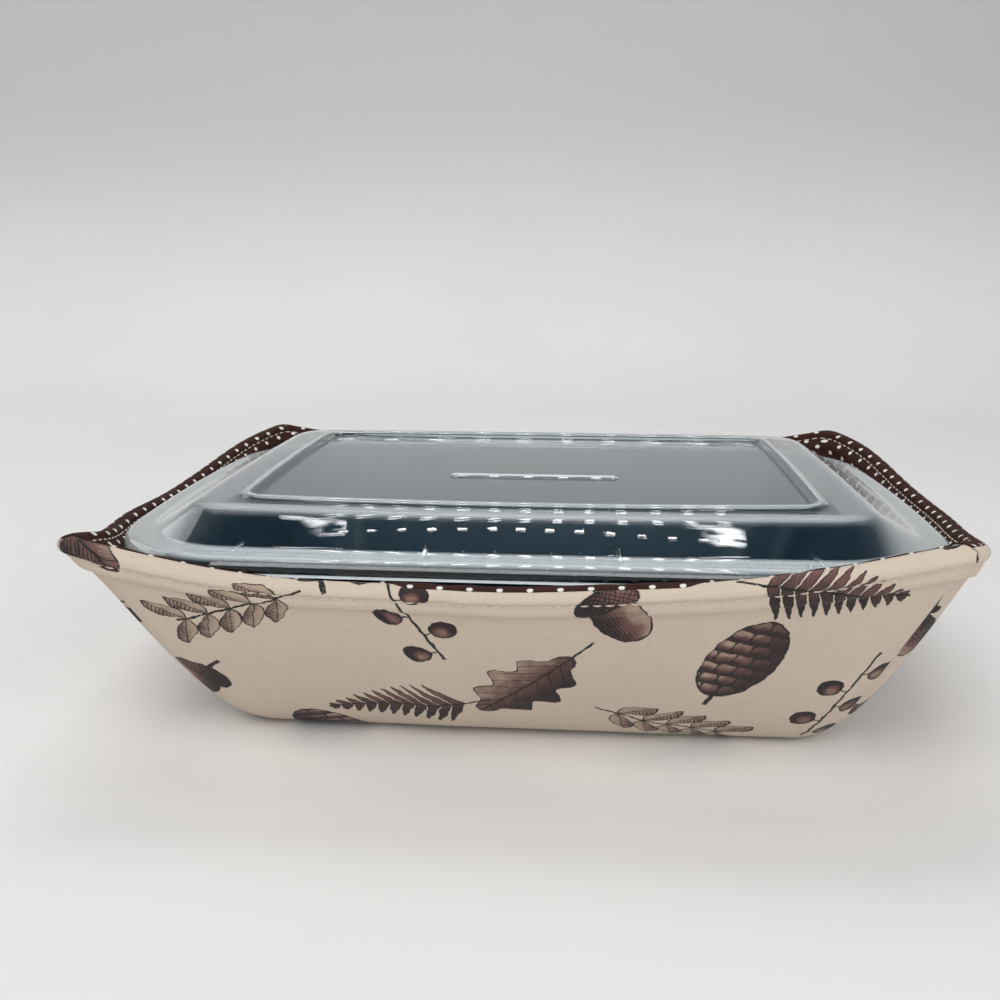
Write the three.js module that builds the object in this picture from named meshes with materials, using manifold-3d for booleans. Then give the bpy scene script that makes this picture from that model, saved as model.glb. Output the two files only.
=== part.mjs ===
// A quilted cotton cozy with a lidded take-out container in it.
// Millimetres, +Z up. The origin is the middle of the base, on the surface that the cozy stands on.
// X runs along the container, Y across it, and the near long side is at -Y.
import * as THREE from 'three';
import Module from 'manifold-3d';
import { mergeVertices } from 'three/addons/utils/BufferGeometryUtils.js';

// Container lid, outside sizes
const LID_LENGTH = 222;
const LID_WIDTH = 156;
const LID_CORNER_RADIUS = 34;
const LID_WALL = 1.0;
const LID_SKIRT = 3.5;
const LIP_ROUND = 3.2;
const LID_END_BOW = 4;
const LID_SIDE_BOW = 1.5;
const LID_BOW_CURVE = 2;
const DOME_END_BOW = 1;
const DOME_SIDE_BOW = 2.5;
const FLANGE_WIDTH = 8.5;
const DOME_INSET = 7.5;
const DOME_HEIGHT = 8;
const DOME_SLOPE_ENDS = 15;
const DOME_SLOPE_SIDES = 10.5;
const DOME_CORNER_RADIUS = 9;
const DOME_BORDER_ENDS = 9.5;
const DOME_BORDER_SIDES = 6.8;
const RIDGE_RISE = 1.4;
const RIDGE_SLOPE = 1.5;
const RIDGE_CREST = 1.2;
const RECESS_DEPTH = 2;
const RECESS_SLOPE = 2;
const PANEL_CORNER_RADIUS = 3;
const TOP_RIB_LENGTH = 50;
const TOP_RIB_WIDTH = 3.6;
const TOP_RIB_HEIGHT = 0.8;
const TOP_RIB_SHIFT = 12.5;
const GUSSET_SPACING = 47.4;
const GUSSET_COUNT = 4;
const GUSSET_LENGTH = 1.2;
const GUSSET_WIDTH = 1.0;
const GUSSET_HEIGHT = 1.5;

// Container tray
const TRAY_DEPTH = 51.4;
const TRAY_WALL = 1.2;
const TRAY_TAPER_ENDS = 19;
const TRAY_TAPER_SIDES = 18.5;
const TRAY_BASE_CORNER = 22;
const TRAY_EDGE_RADIUS = 10;
const CONTAINER_OFFSET = 1;

// Cozy layers, from the outside in
const COTTON = 0.4;
const BATTING = 1.15;
const LAYER_GAP = 0.3;
const WALL = 2 * COTTON + 2 * BATTING + 3 * LAYER_GAP;

// Cozy shape
const BASE_EASE = 5;
const BASE_BEND = 16;
const BASE_CORNER = 8;
const WALL_CORNER = 24;
const RIM_EASE_ENDS = 2.2;
const RIM_EASE_SIDES = 4.2;
const END_BOW = 11;
const SIDE_BOW = 3.2;
const BOW_CURVE = 4;
const TIP_RADIUS = 2.5;
const TIP_RISE = 6.3;
const SIDE_DIP = 4;
const END_DIP = 2.6;
const DIP_CURVE = 1.9;
const DART_GROOVE = 0.7;
const RIM_FOLD = 1.6;
const BATTING_CUT = 4;

// Threads
const THREAD = 0.4;
const TOPSTITCH_DROP = 3;

// Mesh density: shares of a half side at which an outline has points, and steps along profiles
const SIDE_SHARES = [0, 0.3, 0.55, 0.74, 0.88, 0.96, 1];
const THREAD_SIDES = 6;
const EDGE_STEPS = 3;
const CORNERS = 4;
const MERGE_DISTANCE = 1e-4;
const WALL_LEVELS = [0, 0.2, 0.4, 0.6, 0.78, 0.9];
const DART_LEVELS = [0.4, 0.6, 0.78, 0.9];

// Places that follow from the sizes above
const TIP_COLUMN = SIDE_SHARES.length - 1;
const QUARTER = 2 * TIP_COLUMN;
const edgeTurns = Array.from({ length: EDGE_STEPS + 1 }, (_, i) => (Math.PI / 2) * i / EDGE_STEPS);
const trayFloor = WALL + LAYER_GAP;
const trayRim = trayFloor + TRAY_DEPTH;
const flangeTop = trayRim + LAYER_GAP + LID_WALL;
const domeTop = flangeTop + DOME_HEIGHT;
const crestTop = domeTop + RIDGE_RISE;
const panelTop = crestTop - RECESS_DEPTH;
const lidHalf = { x: LID_LENGTH / 2, y: LID_WIDTH / 2 };
const lipBow = { x: LID_END_BOW, y: LID_SIDE_BOW };
const domeBow = { x: DOME_END_BOW, y: DOME_SIDE_BOW };
const noBow = { x: 0, y: 0 };
const mouthHalf = { x: lidHalf.x - FLANGE_WIDTH, y: lidHalf.y - FLANGE_WIDTH };
const trayBaseHalf = { x: mouthHalf.x - TRAY_TAPER_ENDS, y: mouthHalf.y - TRAY_TAPER_SIDES };

// Cozy outline at three places on its wall: where the flat base ends, at the bend and at the rim's tips
const bendHalf = {
  x: trayBaseHalf.x + CONTAINER_OFFSET + WALL + BASE_EASE,
  y: trayBaseHalf.y + WALL + BASE_EASE,
};
const flatHalf = { x: bendHalf.x - BASE_BEND, y: bendHalf.y - BASE_BEND };
const tipHalf = {
  x: lidHalf.x + CONTAINER_OFFSET + RIM_EASE_ENDS + WALL - END_BOW,
  y: lidHalf.y + RIM_EASE_SIDES + WALL - SIDE_BOW,
};
const tipHeight = flangeTop + TIP_RISE;
const sideHeight = flangeTop - SIDE_DIP;
const endHeight = flangeTop - END_DIP;

const wasm = await Module();
wasm.setup();

// Draws a point on a rectangle's edge in towards the middle, as far as the rounded corner
function rounded(x, y, halfX, halfY, radius) {
  const centreX = halfX - radius;
  const centreY = halfY - radius;
  if (x <= centreX || y <= centreY) {
    return [x, y];
  }
  const square = x * x + y * y;
  const along = x * centreX + y * centreY;
  const beyond = centreX ** 2 + centreY ** 2 - radius ** 2;
  const share = (along + Math.sqrt(along ** 2 - square * beyond)) / square;
  return [x * share, y * share];
}

// Points of a rounded rectangle, anticlockwise from the +X side's middle, alike in number for any size
function outline(halfX, halfY, radius) {
  const shortSide = SIDE_SHARES.map((share) => rounded(halfX, share * halfY, halfX, halfY, radius));
  const longSide = SIDE_SHARES.map((share) => rounded(share * halfX, halfY, halfX, halfY, radius));
  const quarter = [...shortSide, ...longSide.slice(0, TIP_COLUMN).reverse()];
  const forward = quarter.slice(0, QUARTER);
  const backward = quarter.slice(1).reverse();
  return [
    ...forward,
    ...backward.map(([x, y]) => [-x, y]),
    ...forward.map(([x, y]) => [-x, -y]),
    ...backward.map(([x, y]) => [x, -y]),
  ];
}

// Pushes the middles of an outline's sides out, and leaves its corners where they are
function bowed([x, y], halfX, halfY, bowX, bowY, power) {
  const alongX = Math.abs(x) / halfX;
  const alongY = Math.abs(y) / halfY;
  return [
    x + Math.sign(x) * alongX * bowX * (1 - alongY ** power),
    y + Math.sign(y) * alongY * bowY * (1 - alongX ** power),
  ];
}

// A flat ring of the container at one height, with its ends and sides bowed
function flatRing(halfX, halfY, radius, z, bow) {
  const cornerX = halfX - bow.x;
  const cornerY = halfY - bow.y;
  return outline(cornerX, cornerY, radius).map((point) => {
    const [x, y] = bowed(point, cornerX, cornerY, bow.x, bow.y, LID_BOW_CURVE);
    return new THREE.Vector3(x, y, z);
  });
}

function geometryFrom(points, triangles) {
  const geometry = new THREE.BufferGeometry();
  geometry.setAttribute('position', new THREE.Float32BufferAttribute(points.flatMap((p) => p.toArray()), 3));
  geometry.setIndex(triangles);
  return geometry;
}

// Strips of triangles between neighbouring rings of equal length, mirrored from one quarter to the next
function ringTriangles(ringCount, size, closed) {
  const triangles = [];
  const strips = closed ? ringCount : ringCount - 1;
  for (let r = 0; r < strips; r += 1) {
    const next = (r + 1) % ringCount;
    for (let i = 0; i < size; i += 1) {
      const j = (i + 1) % size;
      const low = [r * size + i, r * size + j];
      const high = [next * size + i, next * size + j];
      if (Math.floor(i / QUARTER) % 2 === 0) {
        triangles.push(low[0], low[1], high[1], low[0], high[1], high[0]);
      } else {
        triangles.push(low[0], low[1], high[0], low[1], high[1], high[0]);
      }
    }
  }
  return triangles;
}

function centreOf(ring) {
  const centre = new THREE.Vector3();
  ring.forEach((point) => centre.add(point));
  return centre.divideScalar(ring.length);
}

// A closed skin through the rings, with a fan of triangles over the first and the last
function loft(rings) {
  const size = rings[0].length;
  const points = [...rings.flat(), centreOf(rings[0]), centreOf(rings[rings.length - 1])];
  const triangles = ringTriangles(rings.length, size, false);
  const first = rings.length * size;
  const last = first + 1;
  const lastRing = (rings.length - 1) * size;
  for (let i = 0; i < size; i += 1) {
    const j = (i + 1) % size;
    triangles.push(first, j, i);
    triangles.push(last, lastRing + i, lastRing + j);
  }
  return geometryFrom(points, triangles);
}

// Rings of a round thread along a path that is never upright
function threadRings(path, closed) {
  const up = new THREE.Vector3(0, 0, 1);
  return path.map((point, i) => {
    const before = closed ? path[(i + path.length - 1) % path.length] : path[Math.max(i - 1, 0)];
    const after = closed ? path[(i + 1) % path.length] : path[Math.min(i + 1, path.length - 1)];
    const along = after.clone().sub(before).normalize();
    const side = along.clone().cross(up).normalize();
    const over = side.clone().cross(along);
    const ring = [];
    for (let k = 0; k < THREAD_SIDES; k += 1) {
      const angle = -2 * Math.PI * k / THREAD_SIDES;
      const reach = side.clone().multiplyScalar(Math.cos(angle) * THREAD / 2);
      reach.addScaledVector(over, Math.sin(angle) * THREAD / 2);
      ring.push(point.clone().add(reach));
    }
    return ring;
  });
}

function threadLoop(path) {
  const rings = threadRings(path, true);
  return geometryFrom(rings.flat(), ringTriangles(rings.length, THREAD_SIDES, true));
}

function threadLength(path) {
  return loft(threadRings(path, false));
}

// The cozy's wall is one curve from the flat base (level 0) over the bend to the rim (level 1)
function curve(level, flat, bend, rim) {
  const rest = 1 - level;
  return rest * rest * flat + 2 * rest * level * bend + level * level * rim;
}

// Inward and upward shares of one millimetre of depth into the wall, square to its curve
function depthShares(level) {
  const out = 2 * (1 - level) * (bendHalf.y - flatHalf.y) + 2 * level * (tipHalf.y - bendHalf.y);
  const up = 2 * level * sideHeight;
  const length = Math.hypot(out, up);
  return { inward: up / length, upward: out / length };
}

// Corner radius: small at the base, fuller up the wall and pinched at the tips
function cornerRadius(level) {
  return curve(level, BASE_CORNER, WALL_CORNER, TIP_RADIUS);
}

// A ring of points round the cozy, at one level of its wall and one depth into it
function cozyRing(level, depth) {
  const shares = depthShares(level);
  const halfX = curve(level, flatHalf.x, bendHalf.x, tipHalf.x) - depth * shares.inward;
  const halfY = curve(level, flatHalf.y, bendHalf.y, tipHalf.y) - depth * shares.inward;
  const lift = level * level;
  return outline(halfX, halfY, cornerRadius(level)).map((point) => {
    const [x, y] = bowed(point, halfX, halfY, END_BOW * lift, SIDE_BOW * lift, BOW_CURVE);
    const alongX = (Math.abs(point[0]) / halfX) ** DIP_CURVE;
    const alongY = (Math.abs(point[1]) / halfY) ** DIP_CURVE;
    const sideDip = (tipHeight - sideHeight) * (1 - alongX) * alongY;
    const endDip = (tipHeight - endHeight) * (1 - alongY) * alongX;
    return new THREE.Vector3(x, y, lift * (tipHeight - sideDip - endDip) + depth * shares.upward);
  });
}

// The level that lies a given drop below the rim, measured down the wall
function levelBelowRim(drop) {
  return Math.sqrt(1 - drop / Math.hypot(sideHeight, tipHalf.y - bendHalf.y));
}

// A cotton sheet: up one face, folded over at the rim towards the other sheet, and down the other face
function cottonSheet(outerDepth, innerDepth, foldDepth) {
  const foldLevel = levelBelowRim(RIM_FOLD);
  const up = [...WALL_LEVELS, 1].map((level) => cozyRing(level, outerDepth));
  const down = [1, ...WALL_LEVELS.toReversed()].map((level) => cozyRing(level, innerDepth));
  if (foldDepth > innerDepth) {
    down[0] = cozyRing(foldLevel, innerDepth);
    return loft([...up, cozyRing(1, foldDepth), cozyRing(foldLevel, foldDepth), ...down]);
  }
  up[up.length - 1] = cozyRing(foldLevel, outerDepth);
  return loft([...up, cozyRing(foldLevel, foldDepth), cozyRing(1, foldDepth), ...down]);
}

// The column of points that runs up the wall to one corner's tip
function tipColumn(corner) {
  return corner % 2 === 0 ? corner * QUARTER + TIP_COLUMN : (corner + 1) * QUARTER - TIP_COLUMN;
}

// A ring with a groove at each corner for the dart's thread, sunk towards the middle or away from it
function groovedRing(level, depth, groove) {
  const ring = cozyRing(level, depth);
  for (let corner = 0; corner < CORNERS; corner += 1) {
    const point = ring[tipColumn(corner)];
    const inward = new THREE.Vector3(-Math.sign(point.x), -Math.sign(point.y), 0).normalize();
    point.addScaledVector(inward, groove);
  }
  return ring;
}

// A batting sheet, cut short below the turned edge and grooved on the face that meets its cotton
function battingSheet(outerDepth, outerGroove, innerGroove) {
  const cut = levelBelowRim(BATTING_CUT);
  const levels = [...WALL_LEVELS.filter((level) => level < cut), cut];
  const innerDepth = outerDepth + BATTING;
  const ring = (level, depth, groove) => groovedRing(level, depth, level > 0 ? groove : 0);
  const up = levels.map((level) => ring(level, outerDepth, outerGroove));
  const down = levels.toReversed().map((level) => ring(level, innerDepth, innerGroove));
  return loft([...up, ...down]);
}

// The path of a dart's thread, in the groove between a cotton sheet and its batting at one corner
function dartPath(corner, cottonDepth, battingDepth, groove) {
  const column = tipColumn(corner);
  return DART_LEVELS.map((level) => {
    const cotton = cozyRing(level, cottonDepth)[column];
    const batting = groovedRing(level, battingDepth, groove)[column];
    return cotton.add(batting).multiplyScalar(0.5);
  });
}

// The tray: up its outer face, over its flange and down its inner face
function trayGeometry() {
  const underLip = LIP_ROUND + LAYER_GAP;
  const flangeHalf = { x: lidHalf.x - underLip, y: lidHalf.y - underLip };
  const flangeRadius = LID_CORNER_RADIUS - underLip;
  const mouthRadius = LID_CORNER_RADIUS - FLANGE_WIDTH;
  const edgeRing = (radius, turn) => {
    const reach = radius * Math.sin(turn) - TRAY_EDGE_RADIUS;
    const z = trayFloor + TRAY_EDGE_RADIUS - radius * Math.cos(turn);
    return flatRing(trayBaseHalf.x + reach, trayBaseHalf.y + reach, TRAY_BASE_CORNER + reach, z, noBow);
  };
  const outerEdge = edgeTurns.map((turn) => edgeRing(TRAY_EDGE_RADIUS, turn));
  const innerEdge = edgeTurns.map((turn) => edgeRing(TRAY_EDGE_RADIUS - TRAY_WALL, turn));
  const underFlange = trayRim - TRAY_WALL;
  const wallTop = { x: mouthHalf.x + TRAY_WALL, y: mouthHalf.y + TRAY_WALL };
  return loft([
    ...outerEdge,
    flatRing(wallTop.x, wallTop.y, mouthRadius + TRAY_WALL, underFlange, lipBow),
    flatRing(flangeHalf.x, flangeHalf.y, flangeRadius, underFlange, lipBow),
    flatRing(flangeHalf.x, flangeHalf.y, flangeRadius, trayRim, lipBow),
    flatRing(mouthHalf.x, mouthHalf.y, mouthRadius, trayRim, lipBow),
    ...innerEdge.toReversed(),
  ]);
}

// A station on the lid's flange or lip, by how far it lies inside the lip and below the flange
function lipStation(inset, drop) {
  return { x: inset, y: inset, r: LID_CORNER_RADIUS - inset, z: flangeTop - drop };
}

// The lid's top face, from the panel out to the dome's foot: how far stations lie inside the lip, how high
function lidStations() {
  const inwards = (place, run) => ({ x: place.x + run, y: place.y + run });
  const domeEdge = { x: DOME_INSET + DOME_SLOPE_ENDS, y: DOME_INSET + DOME_SLOPE_SIDES };
  const ridgeFoot = { x: domeEdge.x + DOME_BORDER_ENDS, y: domeEdge.y + DOME_BORDER_SIDES };
  const crest = inwards(ridgeFoot, RIDGE_SLOPE);
  const recess = inwards(crest, RIDGE_CREST);
  const panel = inwards(recess, RECESS_SLOPE);
  const recessRadius = PANEL_CORNER_RADIUS + RECESS_SLOPE;
  const crestRadius = recessRadius + RIDGE_CREST;
  return [
    { ...panel, r: PANEL_CORNER_RADIUS, z: panelTop },
    { ...recess, r: recessRadius, z: crestTop },
    { ...crest, r: crestRadius, z: crestTop },
    { ...ridgeFoot, r: crestRadius + RIDGE_SLOPE, z: domeTop },
    { ...domeEdge, r: DOME_CORNER_RADIUS, z: domeTop },
    lipStation(DOME_INSET, 0),
  ];
}

function lidRing(station, drop) {
  const bow = station.x > DOME_INSET ? domeBow : lipBow;
  return flatRing(lidHalf.x - station.x, lidHalf.y - station.y, station.r, station.z - drop, bow);
}

// The lip's round, from the flange down to its skirt, at a radius about the same centre
function lipRings(radius) {
  const stations = edgeTurns.map((turn) => {
    return lipStation(LIP_ROUND - radius * Math.sin(turn), LIP_ROUND - radius * Math.cos(turn));
  });
  stations.push(lipStation(LIP_ROUND - radius, LID_SKIRT));
  return stations.map((station) => lidRing(station, 0));
}

// The lid's shell: out under it, down and round its lip, and back in over its top
function lidShell() {
  const stations = lidStations();
  return loft([
    ...stations.map((station) => lidRing(station, LID_WALL)),
    ...lipRings(LIP_ROUND - LID_WALL),
    ...lipRings(LIP_ROUND).toReversed(),
    ...stations.toReversed().map((station) => lidRing(station, 0)),
  ]);
}

// The long low rib in the lid's recess, a little nearer to the front than its middle
function topRib() {
  const half = (TOP_RIB_LENGTH - TOP_RIB_WIDTH) / 2;
  const end = TOP_RIB_WIDTH / 2;
  const shape = new THREE.Shape();
  shape.absarc(half, 0, end, -Math.PI / 2, Math.PI / 2);
  shape.absarc(-half, 0, end, Math.PI / 2, 3 * Math.PI / 2);
  const depth = TOP_RIB_HEIGHT + LID_WALL / 2;
  const options = { depth, bevelEnabled: false, curveSegments: EDGE_STEPS };
  const geometry = new THREE.ExtrudeGeometry(shape, options);
  return geometry.translate(0, -TOP_RIB_SHIFT, panelTop - LID_WALL / 2);
}

// A small web at the foot of the dome's long wall
function gusset(x, side) {
  const foot = lidHalf.y - DOME_INSET;
  const sunk = LID_WALL / 2;
  const slope = DOME_HEIGHT / DOME_SLOPE_SIDES;
  const shape = new THREE.Shape();
  shape.moveTo(foot + GUSSET_LENGTH, flangeTop - sunk);
  shape.lineTo(foot + GUSSET_LENGTH, flangeTop);
  shape.lineTo(foot - GUSSET_HEIGHT / slope, flangeTop + GUSSET_HEIGHT);
  shape.lineTo(foot - GUSSET_HEIGHT / slope, flangeTop + GUSSET_HEIGHT - sunk);
  shape.lineTo(foot, flangeTop - sunk);
  const geometry = new THREE.ExtrudeGeometry(shape, { depth: GUSSET_WIDTH, bevelEnabled: false });
  geometry.translate(0, 0, -GUSSET_WIDTH / 2);
  geometry.rotateX(Math.PI / 2);
  geometry.rotateZ(side * Math.PI / 2);
  return geometry.translate(x, 0, 0);
}

function solid(geometry) {
  const bare = geometry.clone();
  bare.deleteAttribute('normal');
  bare.deleteAttribute('uv');
  const merged = mergeVertices(bare, MERGE_DISTANCE);
  const vertProperties = new Float32Array(merged.attributes.position.array);
  const triVerts = new Uint32Array(merged.index.array);
  return new wasm.Manifold(new wasm.Mesh({ numProp: 3, vertProperties, triVerts }));
}

function joined(first, others) {
  let whole = solid(first);
  others.forEach((other) => {
    whole = whole.add(solid(other));
  });
  const mesh = whole.getMesh();
  const geometry = new THREE.BufferGeometry();
  geometry.setAttribute('position', new THREE.Float32BufferAttribute(mesh.vertProperties, 3));
  geometry.setIndex([...mesh.triVerts]);
  return geometry;
}

function lidGeometry() {
  const ribs = [topRib()];
  for (let i = 0; i < GUSSET_COUNT; i += 1) {
    const x = GUSSET_SPACING * (i - (GUSSET_COUNT - 1) / 2);
    ribs.push(gusset(x, 1), gusset(x, -1));
  }
  return joined(lidShell(), ribs);
}

function piece(name, geometry, color, roughness, look = {}) {
  const material = new THREE.MeshStandardMaterial({ color, roughness, metalness: 0, ...look });
  const mesh = new THREE.Mesh(geometry, material);
  mesh.name = name;
  return mesh;
}

const CREAM = '#cfc2b2';
const BATTING_WHITE = '#ece7da';
const BROWN = '#3e231c';
const THREAD_WHITE = '#e8dccb';
const TRAY_BLACK = '#16181d';
const LID_CLEAR = '#c9cdca';

function cozy() {
  const group = new THREE.Group();
  const middle = WALL / 2;
  const outerBatting = COTTON + LAYER_GAP;
  const liningBatting = outerBatting + BATTING + LAYER_GAP;
  const liningFace = WALL - COTTON;
  group.add(piece('outer_cotton', cottonSheet(0, COTTON, middle - LAYER_GAP / 2), CREAM, 0.9));
  group.add(piece('outer_batting', battingSheet(outerBatting, DART_GROOVE, 0), BATTING_WHITE, 1));
  group.add(piece('lining_batting', battingSheet(liningBatting, 0, -DART_GROOVE), BATTING_WHITE, 1));
  group.add(piece('lining_cotton', cottonSheet(liningFace, WALL, middle + LAYER_GAP / 2), BROWN, 0.9));
  const proud = LAYER_GAP + THREAD / 2;
  const topstitch = levelBelowRim(TOPSTITCH_DROP);
  const rimSeam = cozyRing(levelBelowRim(RIM_FOLD + proud), middle);
  group.add(piece('rim_seam_thread', threadLoop(rimSeam), THREAD_WHITE, 0.6));
  group.add(piece('topstitch_thread', threadLoop(cozyRing(topstitch, -proud)), THREAD_WHITE, 0.6));
  group.add(piece('bobbin_thread', threadLoop(cozyRing(topstitch, WALL + proud)), THREAD_WHITE, 0.6));
  for (let corner = 0; corner < CORNERS; corner += 1) {
    const outerPath = dartPath(corner, COTTON, outerBatting, DART_GROOVE);
    const liningPath = dartPath(corner, liningFace, liningBatting + BATTING, -DART_GROOVE);
    group.add(piece(`outer_dart_thread_${corner + 1}`, threadLength(outerPath), THREAD_WHITE, 0.6));
    group.add(piece(`lining_dart_thread_${corner + 1}`, threadLength(liningPath), THREAD_WHITE, 0.6));
  }
  return group;
}

function container() {
  const group = new THREE.Group();
  group.add(piece('container_tray', trayGeometry(), TRAY_BLACK, 0.45));
  const clear = { transparent: true, opacity: 0.35 };
  group.add(piece('container_lid', lidGeometry(), LID_CLEAR, 0.15, clear));
  group.position.x = -CONTAINER_OFFSET;
  return group;
}

const object = new THREE.Group();
object.add(cozy(), container());

export default object;
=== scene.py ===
"""Looks of a quilted cotton cozy and of the lidded container that it holds.

Sizes are in millimetres, as in the CAD model, and turn into metres where a mesh is made.
"""
import math
from functools import partialmethod

import bpy
import numpy as np
from mathutils import Matrix, Vector


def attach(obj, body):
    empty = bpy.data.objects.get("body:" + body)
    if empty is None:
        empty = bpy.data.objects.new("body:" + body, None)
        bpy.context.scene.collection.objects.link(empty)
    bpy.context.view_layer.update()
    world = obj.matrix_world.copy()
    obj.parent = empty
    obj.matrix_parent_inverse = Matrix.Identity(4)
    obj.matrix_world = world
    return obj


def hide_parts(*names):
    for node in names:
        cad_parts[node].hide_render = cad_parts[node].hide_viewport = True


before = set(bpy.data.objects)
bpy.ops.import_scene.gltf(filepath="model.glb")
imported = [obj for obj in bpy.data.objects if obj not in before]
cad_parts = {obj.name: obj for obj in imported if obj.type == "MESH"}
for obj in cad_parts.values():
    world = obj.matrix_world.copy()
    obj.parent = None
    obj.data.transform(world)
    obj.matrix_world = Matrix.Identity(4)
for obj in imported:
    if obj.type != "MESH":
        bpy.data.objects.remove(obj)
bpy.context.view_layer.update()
MM = 0.001

# Container lid
LID_HALF = np.array([111.0, 78.0])
LID_CORNER = 34.0
# Heights follow from the wall, as in the CAD model. The skin is the thickness that shows.
LID_WALL = 1.0
LID_SKIN = 0.6
LID_SKIRT = 4.0
LIP_ROUND = 3.2
LIP_FLARE = 0.35
FLARE_RISE = 0.55
FLARE_EDGE = 0.1
LID_BOW = (4.0, 1.5)
DOME_BOW = (1.0, 2.5)
LID_BOW_CURVE = 2.0
DOME_SAG = 0.5
SAG_EDGE = (0.95, 1.15)
FLANGE_WIDTH = 8.5
DOME_INSET = 7.5
DOME_HEIGHT = 8.0
DOME_SLOPE = np.array([15.0, 10.5])
DOME_CORNER = 9.0
DOME_BORDER = np.array([9.5, 6.8])
RIDGE_RISE = 1.4
RIDGE_SLOPE = 1.5
RIDGE_CREST = 1.2
RECESS_DEPTH = 2.0
RECESS_SLOPE = 2.0
PANEL_CORNER = 3.0
PANEL_EASE = 8.0
TOP_RIB = np.array([25.0, 1.8])
TOP_RIB_HEIGHT = 0.8
TOP_RIB_FOOT = 0.25
TOP_RIB_SLOPE = 1.3
TOP_RIB_CROWN = 0.2
TOP_RIB_EDGE = 0.1
TOP_RIB_SHIFT = -12.5
RIB_SHIFT_REACH = (0.16, 0.8)
GUSSET_PLACES = (23.7, 71.1)
GUSSET_LENGTH = 1.2
GUSSET_WIDTH = 1.0
GUSSET_HEIGHT = 1.5
GUSSET_MARGIN = 0.05
GUSSET_STEPS = (0.36, 0.5, 0.62, 0.76)

# Container tray
TRAY_DEPTH = 51.4
TRAY_WALL = 1.2
TRAY_TAPER = np.array([19.0, 18.5])
TRAY_BASE_CORNER = 22.0
TRAY_EDGE_RADIUS = 10.0
CONTAINER_OFFSET = -1.0

# Cozy layers, from the outside in
COTTON = 0.4
BATTING = 1.15
LAYER_GAP = 0.3
WALL = 2 * COTTON + 2 * BATTING + 3 * LAYER_GAP

# Cozy shape
BASE_EASE = 5.0
BASE_BEND = 16.0
BASE_CORNER = 8.0
WALL_CORNER = 24.0
RIM_EASE = np.array([2.2, 4.2])
COZY_BOW = np.array([11.0, 3.2])
COZY_BOW_CURVE = 4.0
TIP_RADIUS = 2.5
TIP_RISE = 6.3
SIDE_DIP = 4.0
END_DIP = 2.6
DIP_CURVE = 1.9
BATTING_CUT = 4.0
CUT_SIZE = (312.0, 256.0)

# Places that follow from the sizes above
TRAY_FLOOR = WALL + LAYER_GAP
TRAY_RIM = TRAY_FLOOR + TRAY_DEPTH
FLANGE_TOP = TRAY_RIM + LAYER_GAP + LID_WALL
DOME_FOOT = LID_HALF - DOME_INSET
DOME_EDGE = DOME_FOOT - DOME_SLOPE
RIDGE_FOOT = DOME_EDGE - DOME_BORDER
CORNER_FOOT = DOME_FOOT[0] - LID_BOW[0]
MOUTH_HALF = LID_HALF - FLANGE_WIDTH
TRAY_BASE_HALF = MOUTH_HALF - TRAY_TAPER
OFF_MIDDLE = np.array([abs(CONTAINER_OFFSET), 0.0])
BEND_HALF = TRAY_BASE_HALF + OFF_MIDDLE + WALL + BASE_EASE
FLAT_HALF = BEND_HALF - BASE_BEND
TIP_HALF = LID_HALF + OFF_MIDDLE + RIM_EASE + WALL - COZY_BOW
TIP_HEIGHT = FLANGE_TOP + TIP_RISE
SIDE_HEIGHT = FLANGE_TOP - SIDE_DIP
END_HEIGHT = FLANGE_TOP - END_DIP
WALL_RUN = math.hypot(SIDE_HEIGHT, TIP_HALF[1] - BEND_HALF[1])

# Sewing
THREAD = 0.42
TOPSTITCH_DROP = 3.0
STITCH_PITCH = 2.9
STITCH_SHARE = 0.92
STITCH_ARCH = 0.75
STITCH_SINK = 0.45
STITCH_TAPER = 0.45
RIM_SEAM_DROP = 2.1
SEAM_ALLOWANCE = 6.6
RIDGE_HEIGHT = 0.85
RIDGE_SOFTNESS = 0.75
GROOVE_DEPTH = 0.45
GROOVE_WIDTH = 0.8
PUCKER = 0.3
PUCKER_REACH = 9.0
SWAY = 0.55
DART_DEPTH = 0.45
DART_WIDTH = 1.5
DART_TOP = 12.0
DART_FOOT = (38.0, 52.0)
DART_LEVELS = (0.4, 0.9)
EDGE_ROUND = WALL / 2
# How far round the rim's edge the outer cotton comes, in degrees. On the near side, away from its middle,
# it comes further and covers the lining.
SEAM_TURN = 78.0
COVERING_TURN = 174.0
COVERING_REACH = (0.3, 0.4)
COVERING_SHIFT = 0.05

# Mesh density
COZY_LONG = 62
COZY_SHORT = 50
PATH_FACTOR = 4
LID_LONG = 44
LID_SHORT = 34
CORNER_CROWDING = 0.6
BASE_RINGS = (0.1, 0.3, 0.5, 0.7, 0.86)
COARSE_LEVELS = 18
LOW_LEVELS = 24
HIGH_LEVELS = 30
HIGH_FROM = 0.8
COARSE_EDGE = 5
FINE_EDGE = 9
DART_POINTS = 24
LIP_POINTS = 10
LID_STEP = 1.2
TRAY_EDGE_POINTS = 9
TRAY_STEP = 3.0


# Outlines

def half_side(count):
    """Shares of a half side for an outline's points, closer together towards the corner."""
    t = np.linspace(0.0, 1.0, count + 1)
    return t + CORNER_CROWDING * t * t * (1.0 - t)


def square_columns(along, up):
    """Points round the unit square, anticlockwise from the middle of its +X side."""
    rise = np.column_stack([np.ones_like(up), up])
    back = np.column_stack([along, np.ones_like(along)])[::-1]
    quarter = np.concatenate([rise, back[1:]])
    forward = quarter[:-1]
    backward = quarter[:0:-1]
    turns = ((forward, (1, 1)), (backward, (-1, 1)), (forward, (-1, -1)), (backward, (1, -1)))
    return np.concatenate([part * np.array(signs) for part, signs in turns])


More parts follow.
